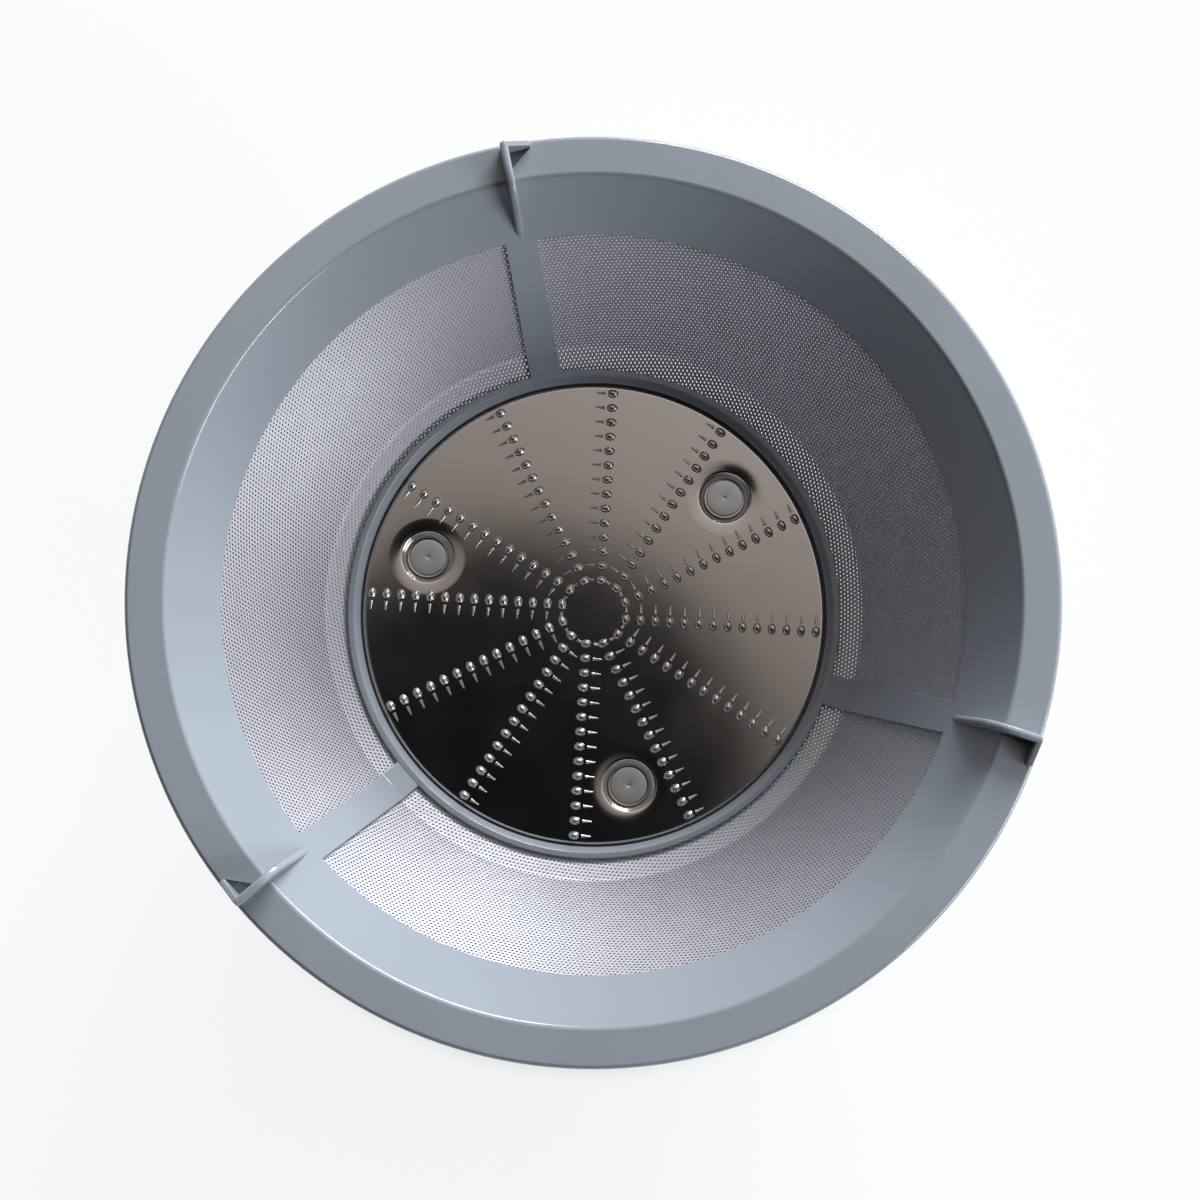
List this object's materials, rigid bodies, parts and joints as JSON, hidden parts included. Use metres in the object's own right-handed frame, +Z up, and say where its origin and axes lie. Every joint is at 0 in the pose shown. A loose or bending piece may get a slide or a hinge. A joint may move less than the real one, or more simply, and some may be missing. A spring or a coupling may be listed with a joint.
{
  "type": "juicer mesh screen",
  "caption": "Conical filter basket of a centrifugal juicer: grey moulded frame with fins, fine steel mesh wall and a toothed grater disc riveted to its floor.",
  "frame": {"origin": "on the spin axis, at the lower edge of the skirt", "axes": "+Z up along the spin axis, out of the basket's mouth; one spoke and its fin lie on +Y"},
  "size_m": [0.135, 0.135, 0.0493],
  "materials": {
    "frame_plastic": "smooth moulded, half gloss",
    "mesh_steel": "fine perforated sheet, satin",
    "disc_steel": "mirror polished stainless",
    "rivet_steel": "satin"
  },
  "bodies": {
    "root": {"basket_frame": "frame_plastic", "filter_mesh": "mesh_steel", "grater_disc": "disc_steel", "disc_rivets": "rivet_steel"}
  },
  "joints": []
}
